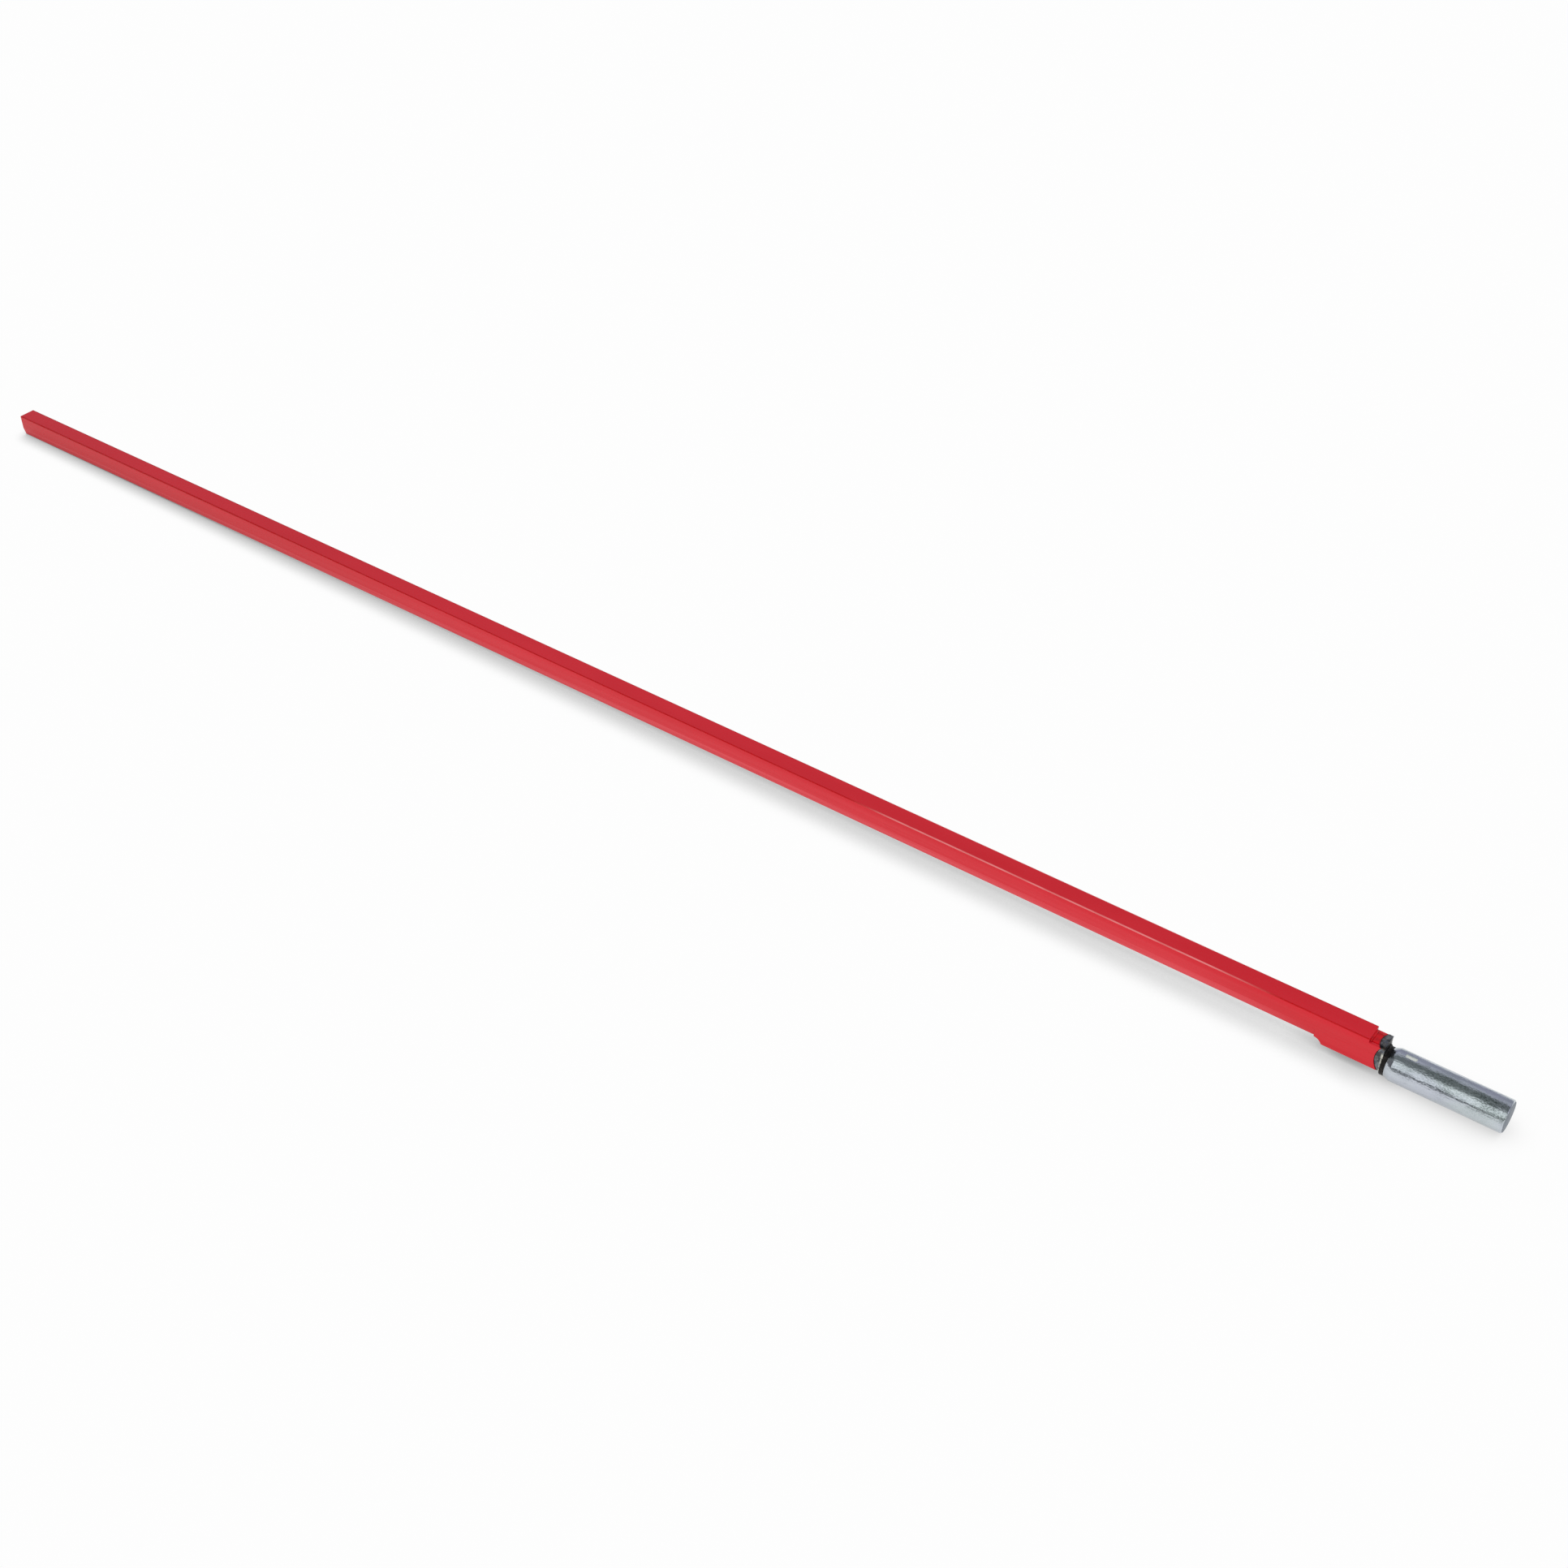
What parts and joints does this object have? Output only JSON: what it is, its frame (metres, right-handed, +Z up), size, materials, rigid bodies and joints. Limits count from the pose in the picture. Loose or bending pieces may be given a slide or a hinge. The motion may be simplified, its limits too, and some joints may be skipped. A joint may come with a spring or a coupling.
{
  "type": "post driver",
  "caption": "Long slim channel-section post driver: an open-bottomed guide channel with an anvil block in its head end and a round plated striking head on a short neck.",
  "frame": {"origin": "centre of the striking face, on the axis of the drive head", "axes": "+X out of the striking face along the drive head's axis; +Z up through the channel's web, which opens downwards; +Y towards the far flange"},
  "size_m": [2, 0.032, 0.0412],
  "materials": {
    "red_paint": "semi-gloss red paint on steel",
    "block_paint": "thick glossy red paint, worn to bare steel at the head end",
    "dark_steel": "blackened, unplated steel",
    "zinc_plate": "bright zinc plating with a blue tint and fine mottling",
    "bare_weld": "bare grey weld metal"
  },
  "bodies": {
    "root": {"guide_channel": "red_paint", "anvil_block": "block_paint", "neck": "dark_steel", "drive_head": "zinc_plate", "web_weld": "block_paint", "top_weld": "bare_weld", "near_cheek_weld": "bare_weld", "far_cheek_weld": "bare_weld", "neck_weld": "bare_weld"}
  },
  "joints": []
}
